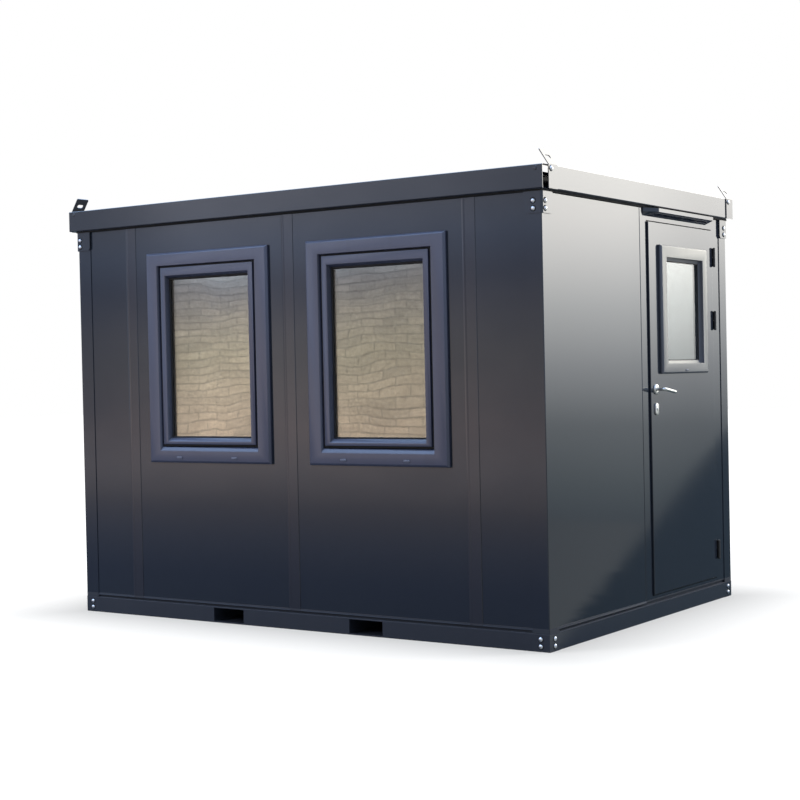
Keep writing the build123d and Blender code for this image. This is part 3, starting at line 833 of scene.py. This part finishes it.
# Studio: a pale floor, a white surround, soft lamps and cards that only gloss and glass mirror
def emission(name, build, strength):
    material = bpy.data.materials.new(name)
    material.use_nodes = True
    tree = material.node_tree
    tree.nodes.clear()
    output = tree.nodes.new("ShaderNodeOutputMaterial")
    glow = tree.nodes.new("ShaderNodeEmission")
    glow.inputs["Strength"].default_value = strength
    tree.links.new(glow.outputs[0], output.inputs["Surface"])
    here = Wire(tree, tree.nodes.new("ShaderNodeTexCoord").outputs["Object"])
    build(here).feed(glow, "Color")
    return material


def flatPiece(name, material, corners):
    mesh = bmesh.new()
    mesh.faces.new([mesh.verts.new(c) for c in corners])
    data = bpy.data.meshes.new(name)
    mesh.to_mesh(data)
    mesh.free()
    data.materials.append(material)
    piece = bpy.data.objects.new(name, data)
    bpy.context.scene.collection.objects.link(piece)
    return piece


def makeCard(name, build, strength, corners):
    piece = flatPiece(name, emission(name, build, strength), corners)
    piece.visible_camera = False
    piece.visible_diffuse = False
    piece.visible_shadow = False


def square(half, z):
    return [(-half, -half, z), (half, -half, z), (half, half, z), (-half, half, z)]


studioFloorLook = {
    "half": 40.0, "z": -0.5 * mm, "colour": grey(0.34), "roughness": 0.9,
    "footX": 1.58, "footY": 1.13, "reach": 1.3,
    # glow by distance from the cabin's foot, dim near it: a painted contact shadow
    "glow": [(0.0, grey(0.42)), (0.25, grey(0.62)), (0.6, grey(0.86)), (1.0, grey(1.0))],
}


def makeFloor():
    look = studioFloorLook
    material, shader, here = startFinish("studioFloor", {
        "Roughness": look["roughness"], "Emission Strength": 1.0, "Specular IOR Level": 0.0,
        "Base Color": look["colour"]})
    # how far a spot is from the cabin's foot; the glow is darker close to it, a painted shadow
    # round the cabin
    besideX = here.calc("MAXIMUM", abs(here.axis(0)) - look["footX"], 0.0)
    besideY = here.calc("MAXIMUM", abs(here.axis(1)) - look["footY"], 0.0)
    away = (besideX * besideX + besideY * besideY) ** 0.5
    glow = (away / look["reach"]).ramp(look["glow"])
    seen = here.add("ShaderNodeLightPath", out="Is Diffuse Ray")
    seen.mix(glow, grey(0.0)).feed(shader, "Emission Color")
    flatPiece("studioFloor", material, square(look["half"], look["z"]))


# A sunlit yard beside the door end, with the cabin's own shadow over the rest
groundCardLook = {
    "half": 30.0, "z": -0.2 * mm, "lit": (0.435, 0.47, 0.465, 1), "edgeX": 1.98,
    "edgeTurn": 0.385, "edgeWidth": 0.09, "ragged": 0.26, "ripples": (7.5, 4),
    "reach": 10.0,  # the shade gets brighter away from the front
    "shade": [(0.0, (0.085, 0.125, 0.15, 1)), (0.2, (0.10, 0.12, 0.19, 1)),
              (0.28, (0.12, 0.135, 0.22, 1)), (0.47, (0.30, 0.29, 0.36, 1)),
              (0.78, (0.65, 0.54, 0.50, 1)), (1.0, (0.70, 0.58, 0.52, 1))],
}


def makeGroundCard():
    look = groundCardLook

    def ground(here):
        past = here.axis(0) - here.axis(1) * look["edgeTurn"] - look["edgeX"]
        past = past + here.ripple(*look["ripples"]) * look["ragged"]
        shade = (here.axis(1) / -look["reach"]).ramp(look["shade"])
        return (past / look["edgeWidth"] + 0.5).clamped().mix(shade, look["lit"])

    makeCard("groundCard", ground, 1.0, square(look["half"], look["z"]))


# A stone wall across from the windows, with its courses
stoneCardLook = {
    "x": (-11.0, 3.0), "y": -8.0, "high": 6.0, "strength": 1.6,
    "course": 0.085, "stone": 0.31, "joint": 0.009, "jointSoft": 0.3,
    "wanders": (2.1, 3), "wander": 0.11,  # how far the courses stray
    "stops": [(0.0, (0.50, 0.42, 0.38, 1)), (0.063, (0.875, 0.744, 0.70, 1)),
              (0.13, (0.96, 0.775, 0.70, 1)), (0.263, (0.76, 0.68, 0.62, 1)),
              (0.333, (0.63, 0.58, 0.60, 1)), (0.397, (0.43, 0.43, 0.54, 1)),
              (0.463, (0.60, 0.69, 0.95, 1)), (0.533, (0.82, 0.84, 0.97, 1)),
              (1.0, (0.86, 0.88, 0.98, 1))],
    "light": (1.22, 1.20, 1.17, 1), "deep": (0.97, 0.97, 0.97, 1), "mortar": (0.64, 0.64, 0.65, 1),
    # half the brightness along the wall, from left to right
    "along": [(0.0, grey(0.28)), (0.193, grey(0.28)), (0.243, grey(0.40)), (0.30, grey(0.68)),
              (0.404, grey(0.62)), (0.486, grey(0.54)), (0.55, grey(0.50)), (0.595, grey(0.42)),
              (0.68, grey(0.36)), (1.0, grey(0.36))],
    "blotches": (2.5, 4), "blotch": 0.30, "grits": (24.0, 3), "grit": 0.9,
}


def makeStoneCard():
    look = stoneCardLook

    def stones(here):
        x, z = here.axis(0), here.axis(2)
        shade = (z / look["high"]).ramp(look["stops"])
        level = z + here.noise(*look["wanders"]) * look["wander"]
        flat = here.add("ShaderNodeCombineXYZ", None, {0: x, 1: level})
        wall = here.add("ShaderNodeTexBrick", None, {
            "Vector": flat, "Scale": 1.0, "Mortar Size": look["joint"],
            "Mortar Smooth": look["jointSoft"], "Brick Width": look["stone"],
            "Row Height": look["course"], "Color1": look["light"], "Color2": look["deep"],
            "Mortar": look["mortar"]})
        along = ((x - left) / (right - left)).ramp(look["along"]) * 2.0
        along = z.clamped() * (along - 1.0) + 1.0
        blotch = here.ripple(*look["blotches"]) * look["blotch"]
        grit = here.ripple(*look["grits"]) * look["grit"]
        return shade.times(wall).times(along * (blotch + grit + 1.0))

    (left, right), y = look["x"], look["y"]
    corners = [(left, y, 0), (right, y, 0), (right, y, look["high"]), (left, y, look["high"])]
    makeCard("stoneCard", stones, look["strength"], corners)


# Bright sky behind the door end, cut away where the cabin's shadow reaches
skyCardLook = {
    "y": 5.0, "high": 9.0, "strength": 8.6,
    "outline": [(-2, 1.02), (3.01, 1.02), (3.97, 0), (7, 0), (7, 9), (-2, 9)],
    "stops": [(0.0, (0.046, 0.053, 0.055, 1)), (0.037, (0.068, 0.077, 0.077, 1)),
              (0.097, (0.117, 0.125, 0.125, 1)), (0.154, (0.258, 0.265, 0.265, 1)),
              (0.214, (0.462, 0.466, 0.455, 1)), (0.273, (0.71, 0.70, 0.67, 1)),
              (0.303, (0.82, 0.80, 0.76, 1)), (0.356, (0.92, 0.90, 0.85, 1)),
              (0.5, (1.0, 0.98, 0.93, 1)), (1.0, (1.0, 0.98, 0.93, 1))],
    # brightness across the sky, from left to right
    "across": (3.0, 5.0),
    "acrossStops": [(0.0, grey(0.66)), (0.25, grey(0.70)), (0.55, grey(0.90)), (1.0, grey(1.0))],
}


def makeSkyCard():
    look = skyCardLook

    def sky(here):
        shade = (here.axis(2) / look["high"]).ramp(look["stops"])
        left, right = look["across"]
        run = (here.axis(0) - left) / (right - left)
        return shade.times(run.ramp(look["acrossStops"]))

    makeCard("skyCard", sky, look["strength"], [(x, look["y"], z) for x, z in look["outline"]])


# Blue sky overhead, for the edges that face up
topCardLook = {"x": (-10.0, 3.0), "y": (-7.0, 6.0), "z": 8.0, "strength": 4.5,
               "colour": (0.42, 0.62, 1.0, 1), "pale": (0.50, 0.68, 1.0, 1), "clouds": (0.4, 2)}


def makeTopCard():
    look = topCardLook

    def overhead(here):
        return here.noise(*look["clouds"]).mix(look["colour"], look["pale"])

    (left, right), (near, far), z = look["x"], look["y"], look["z"]
    corners = [(left, near, z), (right, near, z), (right, far, z), (left, far, z)]
    makeCard("topCard", overhead, look["strength"], corners)


worldLook = {"soft": grey(0.60), "gloss": (0.72, 0.86, 1.10, 1)}


def makeWorld():
    world = bpy.data.worlds.new("studio")
    bpy.context.scene.world = world
    world.use_nodes = True
    tree = world.node_tree
    background = tree.nodes["Background"]
    start = Wire(tree, background.outputs[0])
    camera, gloss, through = (start.add("ShaderNodeLightPath", out=ray) for ray in (
        "Is Camera Ray", "Is Glossy Ray", "Is Transmission Ray"))
    colour = gloss.mix(worldLook["soft"], worldLook["gloss"])
    (camera + through).clamped().mix(colour, grey(1.0)).feed(background, "Color")


def softLamp(name, place, target, size, power, colour):
    lamp = bpy.data.lights.new(name, "AREA")
    lamp.shape = "DISK"
    lamp.size = size
    lamp.energy = power
    lamp.color = colour
    holder = bpy.data.objects.new(name, lamp)
    bpy.context.scene.collection.objects.link(holder)
    holder.location = place
    aim = Vector(target) - Vector(place)
    holder.rotation_euler = aim.to_track_quat("-Z", "Y").to_euler()
    holder.visible_camera = False
    holder.visible_glossy = False
    holder.visible_transmission = False


# name, place, target, size, power and colour
lamps = [
    ("overheadLamp", (0.8, -1.0, 7.5), (0, 0, 1.0), 5.0, 220.0, (0.72, 0.86, 1.0)),
    ("frontLamp", (-4.5, -7.5, 4.0), (0, 0, 1.2), 4.0, 420.0, (1.0, 0.99, 0.97)),
    ("sideLamp", (6.5, 3.5, 4.5), (1.5, 0, 1.4), 3.5, 300.0, (1.0, 1.0, 1.0)),
]
makeFloor()
makeGroundCard()
makeStoneCard()
makeSkyCard()
makeTopCard()
makeWorld()
for lamp in lamps:
    softLamp(*lamp)
print("studio lit")

# The photograph's viewing angle, as measured from the cabin's own edges
shot = {"azimuth": 34.3141, "elevation": 0.9448, "roll": -1.2046,
        "place": (5.3341, -7.8847, 1.3618), "lens": 72.372, "sensor": 36.0}


def makeCamera():
    lens = bpy.data.cameras.new("shot")
    lens.sensor_width = shot["sensor"]
    lens.lens = shot["lens"]
    camera = bpy.data.objects.new("shot", lens)
    bpy.context.scene.collection.objects.link(camera)
    around = Matrix.Rotation(math.radians(shot["azimuth"]), 4, "Z")
    tilt = Matrix.Rotation(math.radians(90 - shot["elevation"]), 4, "X")
    roll = Matrix.Rotation(math.radians(shot["roll"]), 4, "Z")
    camera.matrix_world = Matrix.Translation(shot["place"]) @ around @ tilt @ roll
    bpy.context.scene.camera = camera


makeCamera()
bpy.context.scene.view_settings.view_transform = "Standard"
print("scene ready")
